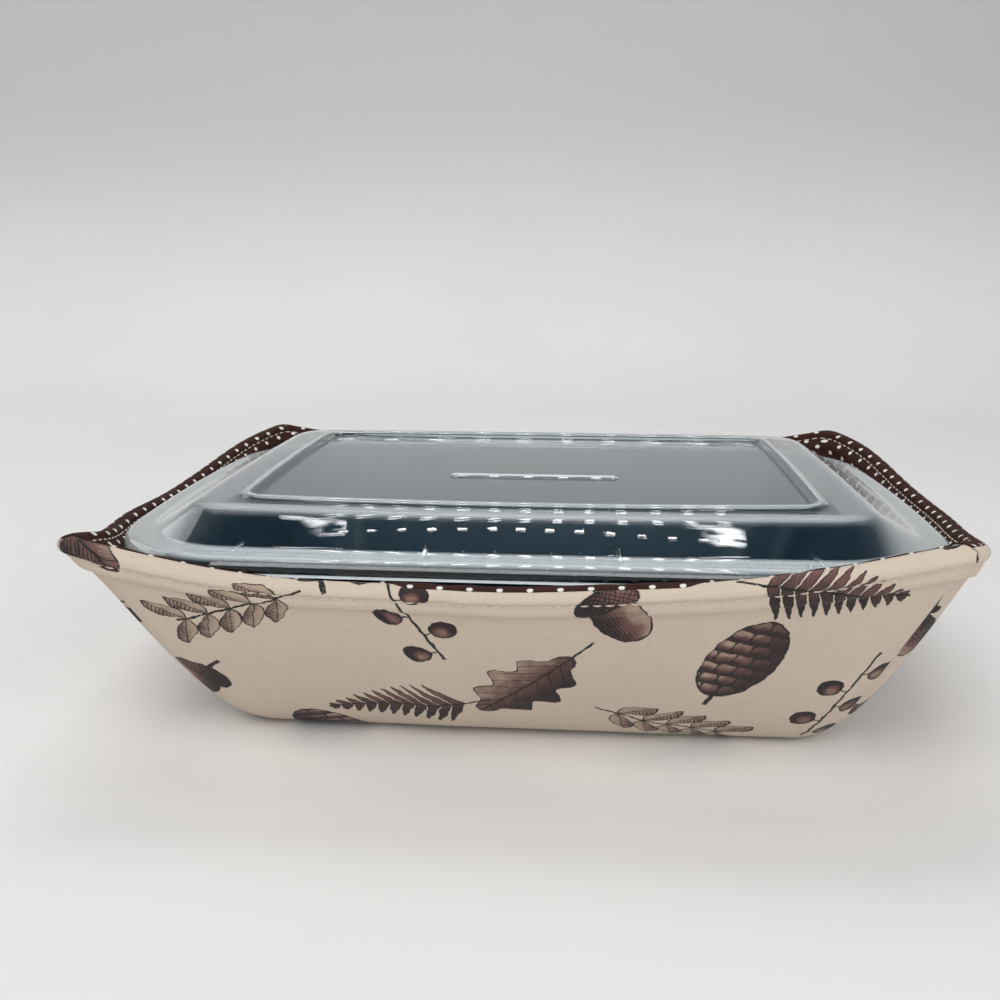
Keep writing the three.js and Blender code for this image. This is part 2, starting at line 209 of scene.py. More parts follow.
def rounded(x, y, half_x, half_y, radius):
    """Draws points of a rectangle's edge in to its rounded corners."""
    reach_x = np.abs(x)
    reach_y = np.abs(y)
    centre_x = half_x - radius
    centre_y = half_y - radius
    square = reach_x**2 + reach_y**2
    along = reach_x * centre_x + reach_y * centre_y
    beyond = centre_x**2 + centre_y**2 - radius**2
    share = (along + np.sqrt(np.maximum(along**2 - square * beyond, 0.0))) / square
    share = np.where((reach_x > centre_x) & (reach_y > centre_y), share, 1.0)
    return x * share, y * share


def bowed(x, y, half_x, half_y, bow_x, bow_y, power):
    """Pushes the middles of an outline's sides out, and keeps its corners."""
    along_x = np.abs(x) / half_x
    along_y = np.abs(y) / half_y
    out_x = np.sign(x) * along_x * bow_x * (1.0 - along_y**power)
    out_y = np.sign(y) * along_y * bow_y * (1.0 - along_x**power)
    return x + out_x, y + out_y


def smooth_step(low, high, value):
    t = np.clip((value - low) / (high - low), 0.0, 1.0)
    return t * t * (3.0 - 2.0 * t)


# The cozy's wall

def curve(level, flat, bend, rim):
    """A value on the wall's curve, from the edge of the flat base over the bend to the rim."""
    rest = 1.0 - level
    return rest**2 * flat + 2 * rest * level * bend + level**2 * rim


def cozy_points(level, depth, columns):
    """Points of the wall, from the flat base (level 0) to the rim (level 1), at a depth into it."""
    out = 2 * (1 - level) * (BEND_HALF[1] - FLAT_HALF[1]) + 2 * level * (TIP_HALF[1] - BEND_HALF[1])
    up = 2 * level * SIDE_HEIGHT
    run = np.hypot(out, up)
    halves = zip(FLAT_HALF, BEND_HALF, TIP_HALF)
    half_x, half_y = (curve(level, *half) - depth * up / run for half in halves)
    lift = level**2
    radius = curve(level, BASE_CORNER, WALL_CORNER, TIP_RADIUS)
    plain = rounded(columns[:, 0] * half_x, columns[:, 1] * half_y, half_x, half_y, radius)
    along_x = (np.abs(plain[0]) / half_x)**DIP_CURVE
    along_y = (np.abs(plain[1]) / half_y)**DIP_CURVE
    side_dip = (TIP_HEIGHT - SIDE_HEIGHT) * (1 - along_x) * along_y
    end_dip = (TIP_HEIGHT - END_HEIGHT) * (1 - along_y) * along_x
    bow = COZY_BOW[:, None, None] * lift
    x, y = bowed(*plain, half_x, half_y, bow[0], bow[1], COZY_BOW_CURVE)
    z = lift * (TIP_HEIGHT - side_dip - end_dip) + depth * out / run
    return np.stack(np.broadcast_arrays(x, y, z), axis=-1)


def level_at(drop):
    """The level that lies a given drop below the rim, measured down the wall."""
    return np.sqrt(np.maximum(1.0 - drop / WALL_RUN, 0.0))


def drop_at(level):
    return (1.0 - level**2) * WALL_RUN


def rim_run(columns):
    """Each column's share of the way round the rim."""
    rim = cozy_points(np.ones((1, 1)), np.zeros((1, 1)), columns)[0]
    steps = np.linalg.norm(np.roll(rim, -1, axis=0) - rim, axis=1)
    return np.concatenate([[0.0], np.cumsum(steps)[:-1]]) / steps.sum()


def ripple(run, cycles):
    """A wave round the cozy, made of whole numbers of cycles so that it closes."""
    waves = [np.sin(2 * math.pi * cycle * run + 1.7 * cycle) for cycle in cycles]
    return sum(waves) / len(waves)


def sway(run, level):
    """Slow waves that the whole wall follows."""
    high = ripple(run, (7, 11, 16)) * smooth_step(0.45, 0.95, level)
    belly = smooth_step(0.1, 0.5, level) * (1 - smooth_step(0.6, 1.0, level))
    low = ripple(run + 0.03, (9, 13, 21)) * belly
    return SWAY * (high + low)


def sewn_relief(run, drop, columns):
    """How far a face stands out along its seams: the ridge, the sunk stitches, puckers and darts."""
    ridge = RIDGE_HEIGHT * (1 - smooth_step(-RIDGE_SOFTNESS, RIDGE_SOFTNESS, drop - SEAM_ALLOWANCE))
    groove = -GROOVE_DEPTH * np.exp(-((drop - TOPSTITCH_DROP) / GROOVE_WIDTH)**2)
    pull = ripple(run, (37, 53, 71, 90)) * np.exp(-drop / PUCKER_REACH)
    from_tip = np.max(1 - np.abs(columns), axis=1) * TIP_HALF.mean()
    on_dart = smooth_step(BATTING_CUT, DART_TOP, drop) * (1 - smooth_step(*DART_FOOT, drop))
    dart = -DART_DEPTH * np.exp(-(from_tip / DART_WIDTH)**2) * on_dart
    return ridge + groove + PUCKER * pull + dart


# How the cozy departs from symmetry. Each line has a direction from the middle and a reach, in degrees,
# the part of the wall that it moves, and millimetres along X, Y and Z.
DEPARTURES = (
    (-135.5, 4.5, "edge", -5.0, -2.0, 1.4),
    (-135, 10, "upper", 0.8, 0.3, 0),
    (-138, 14, "middle", 1.2, 0.4, 0),
    (-148, 9, "upper", 1.4, 0, -2.0),
    (-127, 12, "upper", 0, 0, -2.0),
    (-110, 20, "upper", 0, 0, -1.7),
    (-88, 16, "upper", 0, 0, 0.7),
    (-90, 38, "upper", 0, 2.0, -0.7),
    (-123, 15, "upper", 0, 1.3, -1.0),
    (-57, 15, "upper", 0, 1.2, -0.9),
    (-52, 17, "upper", -1.1, -3.7, 1.2),
    (-58, 16, "upper", 0, 0, 1.0),
    (-46, 10, "upper", -3.4, 6.2, -0.6),
    (-27, 11, "upper", -2.8, 0, 0),
    (-40, 20, "middle", -3.5, 2.5, 0),
    (2, 26, "upper", 2.4, 0, 0),
    (36, 12, "upper", 1.6, 0, 0.2),
    (54, 12, "upper", 0, 0, -2.0),
    (132, 10, "upper", 0, 0, -1.6),
    (172, 20, "upper", -0.8, 0, 0),
)


def hand_sewn(points):
    """Moves points as the cozy was sewn by hand and stands in use."""
    direction = np.degrees(np.arctan2(points[..., 1] / TIP_HALF[1], points[..., 0] / TIP_HALF[0]))
    height = np.clip(points[..., 2] / TIP_HEIGHT, 0.0, 1.0)
    parts = {"edge": height**8, "upper": height**2, "middle": 4 * height * (1 - height)}
    moved = points.copy()
    for towards, reach, part, *shift in DEPARTURES:
        away = (direction - towards + 180.0) % 360.0 - 180.0
        weight = parts[part] * np.exp(-(away / reach)**2)
        moved += weight[..., None] * np.array(shift)
    return moved


# Meshes

def mesh_piece(name, points, faces, material, uv=None):
    """A smooth mesh object, from millimetres. uv has two numbers for each corner of each face."""
    mesh = bpy.data.meshes.new(name)
    mesh.from_pydata((points * MM).tolist(), [], faces)
    if uv is not None:
        layer = mesh.uv_layers.new(name="cloth")
        layer.data.foreach_set("uv", np.asarray(uv, dtype=np.float32).ravel())
    mesh.shade_smooth()
    mesh.materials.append(material)
    piece = bpy.data.objects.new(name, mesh)
    bpy.context.scene.collection.objects.link(piece)
    return piece


def ring_faces(rows, count):
    """Quads between neighbouring rings of count points each."""
    row = np.arange(rows - 1)[:, None] * count
    column = np.arange(count)[None, :]
    after = (column + 1) % count
    corners = (row + column, row + after, row + count + after, row + count + column)
    return np.stack(np.broadcast_arrays(*corners), axis=-1).reshape(-1, 4)


def closed_skin(rings):
    """Points through the rings, the quads between them, and fans over the first and the last."""
    rows, count = rings.shape[:2]
    centres = np.stack([rings[0].mean(axis=0), rings[-1].mean(axis=0)])
    points = np.concatenate([rings.reshape(-1, 3), centres])
    quads = ring_faces(rows, count)
    here = np.arange(count)
    after = (here + 1) % count
    first = np.column_stack([np.full(count, rows * count), after, here])
    tail = (rows - 1) * count
    last = np.column_stack([np.full(count, rows * count + 1), tail + here, tail + after])
    return points, quads, first, last


def shell_piece(name, rings, material):
    """A closed mesh object through the rings."""
    points, *faces = closed_skin(rings)
    return mesh_piece(name, points, [face for part in faces for face in part.tolist()], material)


def panel_uv(rings):
    """Two flat maps of a face, in millimetres of cloth: one that suits the long sides, one the ends.

    The rim is the straight edge of the flat cloth in both.
    """
    steps = np.diff(rings, axis=0, prepend=np.zeros_like(rings[:1]))
    steps[0, :, 2] = 0.0
    along_side = np.cumsum(np.hypot(steps[..., 1], steps[..., 2]), axis=0)
    along_end = np.cumsum(np.hypot(steps[..., 0], steps[..., 2]), axis=0)
    along_side *= CUT_SIZE[1] / 2 / along_side[-1]
    along_end *= CUT_SIZE[0] / 2 / along_end[-1]
    side = np.stack([rings[..., 0], np.sign(rings[..., 1]) * along_side], axis=-1)
    end = np.stack([np.sign(rings[..., 0]) * along_end, rings[..., 1]], axis=-1)
    return side, end


def cloth_piece(name, outer_face, inner_face, material):
    """A closed sheet from its outer and inner faces, each as rings from the base's middle to the rim."""
    rings = np.concatenate([outer_face, inner_face[::-1]])
    maps = [np.concatenate([a, b[::-1]]) for a, b in zip(panel_uv(outer_face), panel_uv(inner_face))]
    points, quads, first, last = closed_skin(hand_sewn(rings))
    on_side = np.abs(COZY_COLUMNS[:, 1]) == 1
    on_side = on_side & np.roll(on_side, -1)
    is_side = np.tile(on_side, len(rings) - 1)[:, None, None]
    flat = [np.concatenate([a.reshape(-1, 2), np.zeros((2, 2))]) for a in maps]
    uv = np.where(is_side, flat[0][quads], flat[1][quads]).reshape(-1, 2)
    fans = np.concatenate([flat[0][first].reshape(-1, 2), flat[0][last].reshape(-1, 2)])
    faces = quads.tolist() + first.tolist() + last.tolist()
    return mesh_piece(name, points, faces, material, np.concatenate([uv, fans]))


def with_base(rings):
    """Adds the flat base inside the first ring."""
    centre = rings[0].mean(axis=0)
    base = [centre + (rings[0] - centre) * share for share in BASE_RINGS]
    return np.concatenate([base, rings])


COZY_COLUMNS = square_columns(half_side(COZY_LONG), half_side(COZY_SHORT))
COZY_RUN = rim_run(COZY_COLUMNS)
FINE_COLUMNS = square_columns(half_side(COZY_LONG * PATH_FACTOR), half_side(COZY_SHORT * PATH_FACTOR))
FINE_RUN = rim_run(FINE_COLUMNS)


def relieved(levels, depth, share, run=COZY_RUN, columns=COZY_COLUMNS):
    """Points of the wall at a depth into it, with its sway and a share of its sewn relief."""
    relief = sway(run, levels) + share * sewn_relief(run, drop_at(levels), columns)
    return cozy_points(levels, depth - relief, columns)


def wall_levels(end_drop, fine):
    """Levels from the base up to a drop below the rim, closer near the rim on a face that shows."""
    if not fine:
        return np.linspace(0.0, level_at(end_drop), COARSE_LEVELS)[:, None]
    low = np.linspace(0.0, HIGH_FROM, LOW_LEVELS)
    high = level_at(np.linspace(drop_at(HIGH_FROM), end_drop, HIGH_LEVELS))
    return np.concatenate([low, high[1:]])[:, None]


def seam_turn():
    """How far round the rim's edge the outer cotton comes, in radians from the outer face."""
    across, down = COZY_COLUMNS.T
    covering = smooth_step(*COVERING_REACH, np.abs(across - COVERING_SHIFT))
    near_side = SEAM_TURN + (COVERING_TURN - SEAM_TURN) * covering
    return np.radians(np.where(down == -1, near_side, SEAM_TURN))


def cotton_face(depth, turn, side, edge_radius, fine):
    """One face of a cotton sheet: up the wall at a depth, then round the rim's edge by a turn.

    side is 1 on the outer half of the wall and -1 on the inner half.
    """
    levels = wall_levels(EDGE_ROUND, fine)
    wall = relieved(levels, depth, side)
    angle = np.linspace(0.0, 1.0, FINE_EDGE if fine else COARSE_EDGE)[1:, None] * turn
    edge_levels = level_at(EDGE_ROUND - edge_radius * np.sin(angle))
    edge_depth = EDGE_ROUND - side * edge_radius * np.cos(angle)
    fade = np.clip(np.cos(angle), 0.0, 1.0)
    edge = relieved(edge_levels, edge_depth, side * fade)
    return with_base(np.concatenate([wall, edge]))


def outer_cotton(material):
    turn = seam_turn()
    outer = cotton_face(0.0, turn, 1, EDGE_ROUND, True)
    inner = cotton_face(COTTON, turn, 1, EDGE_ROUND - COTTON, False)
    return cloth_piece("outer_cotton_cloth", outer, inner, material)


def lining_cotton(material):
    turn = math.pi - seam_turn()
    outer = cotton_face(WALL - COTTON, turn, -1, EDGE_ROUND - COTTON, False)
    inner = cotton_face(WALL, turn, -1, EDGE_ROUND, True)
    return cloth_piece("lining_cotton_cloth", outer, inner, material)


def batting_sheet(name, depth, material):
    levels = wall_levels(BATTING_CUT, False)
    outer, inner = (with_base(relieved(levels, face, 0.0)) for face in (depth, depth + BATTING))
    return cloth_piece(name, outer, inner, material)


# Stitches

STITCH_RINGS = 7
STITCH_SIDES = 8


def stitch_row(name, path, outward, closed, material):
    """A row of lockstitches along a path: short arches of thread whose ends dive into the cloth."""
    if closed:
        path = np.concatenate([path, path[:1]])
        outward = np.concatenate([outward, outward[:1]])
    run = np.concatenate([[0.0], np.cumsum(np.linalg.norm(np.diff(path, axis=0), axis=1))])
    count = round(run[-1] / STITCH_PITCH)
    t = np.linspace(0.0, 1.0, STITCH_RINGS)
    places = (np.arange(count)[:, None] + (1 - STITCH_SHARE) / 2 + STITCH_SHARE * t) * run[-1] / count
    centre = np.stack([np.interp(places, run, path[:, k]) for k in range(3)], axis=-1)
    up = np.stack([np.interp(places, run, outward[:, k]) for k in range(3)], axis=-1)
    along = np.gradient(centre, axis=1)
    side = np.cross(along, up)
    side /= np.linalg.norm(side, axis=-1, keepdims=True)
    rise = np.sin(math.pi * t)
    arch = THREAD * (STITCH_ARCH * rise - STITCH_SINK)
    thick = THREAD / 2 * (1 - STITCH_TAPER + STITCH_TAPER * rise)
    angle = 2 * math.pi * np.arange(STITCH_SIDES) / STITCH_SIDES
    middle = centre + up * arch[None, :, None]
    spread = np.cos(angle)[:, None] * side[:, :, None] + np.sin(angle)[:, None] * up[:, :, None]
    rings = middle[:, :, None] + spread * thick[None, :, None, None]
    points = rings.reshape(-1, 3)
    each = STITCH_RINGS * STITCH_SIDES
    start = np.arange(count)[:, None] * each
    quads = (start[:, :, None] + ring_faces(STITCH_RINGS, STITCH_SIDES)[None]).reshape(-1, 4)
    ends = np.arange(STITCH_SIDES)
    heads = start + ends[::-1]
    tails = start + each - STITCH_SIDES + ends
    return mesh_piece(name, points, quads.tolist() + heads.tolist() + tails.tolist(), material)


def loop_path(drop, depth, side, share):
    """A path round the rim on or in the wall, and the direction that its stitches stand up in.

    side is 1 where they stand up outwards and -1 inwards.
    """
    level = np.full((1, 1), level_at(drop))
    path, above = (
        hand_sewn(relieved(level, depth - side * rise, share, FINE_RUN, FINE_COLUMNS))[0]
        for rise in (0.0, 1.0)
    )
    outward = above - path
    return path, outward / np.linalg.norm(outward, axis=1, keepdims=True)


def dart_path(corner, depth, side):
    """A path up the wall in one corner's dart, between a cotton and its batting."""
    signs = np.array([(1, 1), (-1, 1), (-1, -1), (1, -1)])[corner]
    levels = np.linspace(*DART_LEVELS, DART_POINTS)[:, None]
    column = signs[None, :].astype(float)
    path, above = (hand_sewn(cozy_points(levels, depth - side * rise, column))[:, 0] for rise in (0.0, 1.0))
    return path, above - path


# Container

def rings_at(stations, columns):
    """Flat rings from stations of half length, half width, corner radius, height, and both bows."""
    half_x, half_y, radius, z, bow_x, bow_y = (stations[:, k, None] for k in range(6))
    corner_x = half_x - bow_x
    corner_y = half_y - bow_y
    plain = rounded(columns[:, 0] * corner_x, columns[:, 1] * corner_y, corner_x, corner_y, radius)
    x, y = bowed(*plain, corner_x, corner_y, bow_x, bow_y, LID_BOW_CURVE)
    rings = np.stack(np.broadcast_arrays(x, y, z), axis=-1)
    return rings + np.array([CONTAINER_OFFSET, 0.0, 0.0])


def eased(stations, rounds, steps=6):
    """A profile with rounded corners, each over its own reach along the edges that meet there."""
    stations = np.asarray(stations, dtype=float)
    profile = [stations[0]]
    for before, corner, after, reach in zip(stations, stations[1:], stations[2:], rounds):
        ends = []
        for other in (before, after):
            length = math.hypot(*(other - corner)[[1, 3]])
            ends.append(corner + (other - corner) * min(reach / length, 0.48))
        for t in np.linspace(0.0, 1.0, steps):
            profile.append((1 - t)**2 * ends[0] + 2 * (1 - t) * t * corner + t * t * ends[1])
    profile.append(stations[-1])
    return np.array(profile)


def filled(profile, step):
    """Adds stations along the profile's long stretches."""
    out = [profile[0]]
    for before, after in zip(profile, profile[1:]):
        pieces = max(1, math.ceil(math.hypot(*(after - before)[[1, 3]]) / step))
        out.extend(before + (after - before) * k / pieces for k in range(1, pieces + 1))
    return np.array(out)


def lid_columns():
    steps = [side * step for side in (-1, 1) for step in GUSSET_STEPS]
    edges = [(place + step) / CORNER_FOOT for place in GUSSET_PLACES for step in steps]
    return square_columns(np.union1d(half_side(LID_LONG), edges), half_side(LID_SHORT))


def add_gussets(rings, profile, columns, below):
    """Raises small webs at the foot of the dome's long walls, on a face that lies below the upper one."""
    slope = DOME_HEIGHT / DOME_SLOPE[1]
    out = profile[:, 1] - DOME_FOOT[1]
    run = GUSSET_LENGTH + GUSSET_HEIGHT / slope
    web = FLANGE_TOP - below + GUSSET_HEIGHT * (GUSSET_LENGTH - out) / run
    on_web = (out < GUSSET_LENGTH) & (out > -GUSSET_HEIGHT / slope)
    across = np.abs(columns[:, 0]) * CORNER_FOOT
    hits = [np.abs(across - place) < GUSSET_WIDTH / 2 + GUSSET_MARGIN for place in GUSSET_PLACES]
    on_column = np.any(hits, axis=0) & (np.abs(columns[:, 1]) == 1)
    raised = on_web[:, None] & on_column[None, :]
    rings[..., 2] = np.where(raised, np.maximum(rings[..., 2], web[:, None]), rings[..., 2])
    return rings


def on_lip(inset, drop):
    """A station on the lid's flange or lip, by how far it lies inside the lip and below the flange."""
    return (*(LID_HALF - inset), LID_CORNER - inset, FLANGE_TOP - drop, *LID_BOW)


def lip_stations(radius):
    """The lip's round, from the flange down to its skirt, at a radius about the same centre."""
    turns = np.linspace(0.0, math.pi / 2, LIP_POINTS)
    inset = LIP_ROUND - radius * np.sin(turns)
    drop = LIP_ROUND - radius * np.cos(turns)
    foot = LIP_ROUND - radius
    edge = foot - LIP_FLARE
    flare = [(foot, LID_SKIRT - FLARE_RISE), (edge, LID_SKIRT - FLARE_EDGE), (edge, LID_SKIRT)]
    return np.array([on_lip(*place) for place in [*zip(inset, drop), *flare]])


def rib_station(out, z):
    """A station on the rib of the lid's panel, by how far it lies outside the rib's foot."""
    return (*(TOP_RIB + out), TOP_RIB[1] + out, z, 0.0, 0.0)


def dome_stations():
    """The lid's upper face, from the middle of its rib out to the flange."""
    dome_top = FLANGE_TOP + DOME_HEIGHT
    crest_top = dome_top + RIDGE_RISE
    panel = crest_top - RECESS_DEPTH
    crest = RIDGE_FOOT - RIDGE_SLOPE
    recess = crest - RIDGE_CREST
    recess_corner = PANEL_CORNER + RECESS_SLOPE
    crest_corner = recess_corner + RIDGE_CREST
    rib = [
        rib_station(-TOP_RIB_SLOPE - TOP_RIB_CROWN, panel + TOP_RIB_HEIGHT),
        rib_station(-TOP_RIB_SLOPE, panel + TOP_RIB_HEIGHT),
        rib_station(0.0, panel + TOP_RIB_FOOT),
        rib_station(TOP_RIB_EDGE, panel),
        (*(TOP_RIB + PANEL_EASE), PANEL_CORNER, panel, 0.0, 0.0),
    ]
    dome = [
        (*(recess - RECESS_SLOPE), PANEL_CORNER, panel, *DOME_BOW),
        (*recess, recess_corner, crest_top, *DOME_BOW),
        (*crest, crest_corner, crest_top, *DOME_BOW),
        (*RIDGE_FOOT, crest_corner + RIDGE_SLOPE, dome_top, *DOME_BOW),
        (*DOME_EDGE, DOME_CORNER, dome_top, *DOME_BOW),
        on_lip(DOME_INSET, 0.0),
        on_lip(LIP_ROUND, 0.0),
    ]
    rounds = (0.1, 0.1, 0.1, 0.1, 0.8, 0.9, 1.0, 0.8, 2.0, 1.6)
    return filled(eased(rib + dome, rounds), LID_STEP)


def lid_face(stations, below):
    """One face of the lid, with its webs, the rib nearer to the front, and the dome's sag."""
    columns = lid_columns()
    rings = add_gussets(rings_at(stations, columns), stations, columns, below)
    out = np.max(np.abs(rings[..., :2]) / DOME_EDGE, axis=-1)
    with_rib = 1 - smooth_step(*RIB_SHIFT_REACH, stations[:, 1] / DOME_EDGE[1])
    rings[..., 1] += TOP_RIB_SHIFT * with_rib[:, None]
    middle = np.clip(1 - (rings[..., 0] / DOME_EDGE[0])**2, 0.0, 1.0)
    rings[..., 2] -= DOME_SAG * middle * (1 - smooth_step(*SAG_EDGE, out))
    return rings


def container_lid(material):
    dome = dome_stations()
    inside = dome[:-1] - np.array([0.0, 0.0, 0.0, LID_SKIN, 0.0, 0.0])
    upper = lid_face(np.vstack([dome[:-1], lip_stations(LIP_ROUND)]), 0.0)
    lower = lid_face(np.vstack([inside, lip_stations(LIP_ROUND - LID_SKIN)]), LID_SKIN)
    return shell_piece("container_lid_shell", np.concatenate([lower, upper[::-1]]), material)


def container_tray(material):
    columns = square_columns(half_side(LID_LONG), half_side(LID_SHORT))
    turns = np.linspace(0.0, math.pi / 2, TRAY_EDGE_POINTS)

    def edge(radius):
        reach = radius * np.sin(turns) - TRAY_EDGE_RADIUS
        z = TRAY_FLOOR + TRAY_EDGE_RADIUS - radius * np.cos(turns)
        return np.column_stack([
            TRAY_BASE_HALF[0] + reach, TRAY_BASE_HALF[1] + reach, TRAY_BASE_CORNER + reach, z, 0 * z, 0 * z
        ])

    under_lip = LIP_ROUND + LAYER_GAP
    flange = LID_HALF - under_lip
    mouth_radius = LID_CORNER - FLANGE_WIDTH
    under_flange = TRAY_RIM - TRAY_WALL
    outer = edge(TRAY_EDGE_RADIUS)
    inner = edge(TRAY_EDGE_RADIUS - TRAY_WALL)[::-1]
    over = eased([
        outer[-1],
        (*(MOUTH_HALF + TRAY_WALL), mouth_radius + TRAY_WALL, under_flange, *LID_BOW),
        (*flange, LID_CORNER - under_lip, under_flange, *LID_BOW),
        (*flange, LID_CORNER - under_lip, TRAY_RIM, *LID_BOW),
        (*MOUTH_HALF, mouth_radius, TRAY_RIM, *LID_BOW),
        inner[0],
    ], (1.5, 0.5, 0.5, 1.2))
    profile = filled(np.concatenate([outer[:-1], over, inner[1:]]), TRAY_STEP)
    return shell_piece("container_tray_shell", rings_at(profile, columns), material)


# Materials

class Field:
    """A number that varies over a surface, worked out by math nodes."""

    def __init__(self, tree, socket):
        self.tree = tree
        self.socket = socket

    def op(self, operation, *others):
        node = self.tree.nodes.new("ShaderNodeMath")
        node.operation = operation
        for slot, value in zip(node.inputs, (self, *others)):
            if isinstance(value, Field):
                self.tree.links.new(value.socket, slot)
            else:
                slot.default_value = value
        return Field(self.tree, node.outputs[0])

    __add__ = partialmethod(op, "ADD")
    __sub__ = partialmethod(op, "SUBTRACT")
    __mul__ = partialmethod(op, "MULTIPLY")
    __truediv__ = partialmethod(op, "DIVIDE")
    __abs__ = partialmethod(op, "ABSOLUTE")

    def __rsub__(self, other):
        return self * -1.0 + other

    def wrap(self, half):
        return self.op("WRAP", half, -half)

    def ramp(self, start, end):
        """0 at start and 1 at end, eased."""
        node = self.tree.nodes.new("ShaderNodeMapRange")
        node.interpolation_type = "SMOOTHSTEP"
        self.tree.links.new(self.socket, node.inputs["Value"])
        node.inputs["From Min"].default_value = start
        node.inputs["From Max"].default_value = end
        return Field(self.tree, node.outputs["Result"])

    def inside(self, edge=0.0, soft=0.12):
        """1 where the field is less than edge."""
        return self.ramp(edge + soft, edge - soft)

    def stroke(self, width, soft=0.1):
        """1 within half a width of the field's zero."""
        return abs(self).inside(width / 2, soft)


def new_material(name, roughness, **sockets):
    material = bpy.data.materials.new(name)
    material.use_nodes = True
    shader = material.node_tree.nodes["Principled BSDF"]
    shader.inputs["Roughness"].default_value = roughness
    for socket, value in sockets.items():
        shader.inputs[socket.replace("_", " ")].default_value = value
    return material, material.node_tree, shader


def split(tree, vector):
    """The three parts of a vector socket."""
    node = tree.nodes.new("ShaderNodeSeparateXYZ")
    tree.links.new(vector, node.inputs["Vector"])
    return [Field(tree, node.outputs[axis]) for axis in "XYZ"]


def cloth_place(tree):
    """The two coordinates of a place on the cloth, in millimetres."""
    uv = tree.nodes.new("ShaderNodeUVMap")
    uv.uv_map = "cloth"
    return split(tree, uv.outputs["UV"])[:2]


def noise(tree, place, scale, detail=2.0):
    """Smooth noise over two or three fields, from 0 to 1."""
    join = tree.nodes.new("ShaderNodeCombineXYZ")
    for field, slot in zip(place, join.inputs):
        tree.links.new(field.socket, slot)
    node = tree.nodes.new("ShaderNodeTexNoise")
    node.inputs["Scale"].default_value = scale
    node.inputs["Detail"].default_value = detail
    tree.links.new(join.outputs["Vector"], node.inputs["Vector"])
    return Field(tree, node.outputs["Fac"])


def object_place(tree):
    """The three coordinates of a place on a rigid piece, in millimetres."""
    node = tree.nodes.new("ShaderNodeTexCoord")
    return [part * (1 / MM) for part in split(tree, node.outputs["Object"])]


def mixed(tree, share, first, second):
    """A colour between two, each a tuple or a socket."""
    node = tree.nodes.new("ShaderNodeMix")
    node.data_type = "RGBA"
    tree.links.new(share.socket, node.inputs[0])
    for slot, colour in ((node.inputs[6], first), (node.inputs[7], second)):
        if isinstance(colour, tuple):
            slot.default_value = (*colour, 1.0)
        else:
            tree.links.new(colour, slot)
    return node.outputs[2]


def bump(tree, shader, height, distance):
    """Bump from a height field of about 0 to 1, which stands for a distance in millimetres."""
    node = tree.nodes.new("ShaderNodeBump")
    node.inputs["Distance"].default_value = distance * MM
    tree.links.new(height.socket, node.inputs["Height"])
    tree.links.new(node.outputs["Normal"], shader.inputs["Normal"])


WEAVE_PITCH = 0.52


def weave(tree, u, v):
    """Height of a plain weave, with slubs where a yarn is thicker."""
    turn = 2 * math.pi / WEAVE_PITCH
    over = (u * turn).op("SINE") * (v * turn).op("SINE")
    slub = noise(tree, (u * 0.08, v * 1.6), 1.0) + noise(tree, (u * 1.6, v * 0.08), 1.0)
    return over * 0.25 + slub * 0.8, slub


# Print: leaves, sprigs, acorns, fronds, berries and cones in a half-drop repeat. Each motif returns
# where it is filled, how light it is there, and where it is inked.

REPEAT_WIDTH = 108.0
REPEAT_HEIGHT = 90.0
OUTLINE = 0.4


def motif_place(u, v, across, down, turn):
    """Place within one motif's cell, turned, and mirrored in every other column of the repeat."""
    column = ((u - across) / REPEAT_WIDTH + 0.5).op("FLOOR")
    odd = abs(column.op("MODULO", 2.0))
    x = (u - across - column * REPEAT_WIDTH) * (odd * -2.0 + 1.0)
    y = (v - down - odd * (REPEAT_HEIGHT / 2)).wrap(REPEAT_HEIGHT / 2)
    cos = math.cos(math.radians(turn))
    sin = math.sin(math.radians(turn))
    return x * cos + y * sin, y * cos - x * sin


def clamped(field):
    return field.op("MINIMUM", 1.0).op("MAXIMUM", 0.0)


def either(first, *others):
    for other in others:
        first = first.op("MAXIMUM", other)
    return first


def ellipse(x, y, half_x, half_y):
    """Roughly the distance from an ellipse's edge, less than 0 inside it."""
    reach = ((x / half_x).op("POWER", 2.0) + (y / half_y).op("POWER", 2.0)).op("SQRT")
    return (reach - 1.0) * min(half_x, half_y)


def hatching(across, shade, pitch=0.95):
    """Engraved lines, broader where the shade is deeper."""
    return (abs(across.wrap(pitch / 2)) - shade * (pitch * 0.34)).inside(0.0, 0.1)


def lobed_leaf(x, y):
    length, width, stem = 37.0, 11.5, 8.0
    t = clamped(y / length + 0.5)
    swell = (t * math.pi).op("SINE").op("MAXIMUM", 0.0).op("POWER", 0.72)
    lobes = (t * (2 * math.pi * 4)).op("COSINE") * 0.2 + 0.8
    edge = abs(x) - swell * lobes * width
    ends = abs(y).inside(length / 2)
    fill = edge.inside() * ends
    rise = y - abs(x) * 0.9
    tone = x.ramp(10.0, -8.0)
    veins = rise.wrap(2.3).stroke(0.35) * fill
    rib = x.stroke(0.7) * abs(y + stem / 2).inside((length + stem) / 2)
    lines = hatching(rise, 0.95 - tone) * fill
    return fill, tone * 0.75, either(edge.stroke(OUTLINE) * ends, rib, veins, lines)


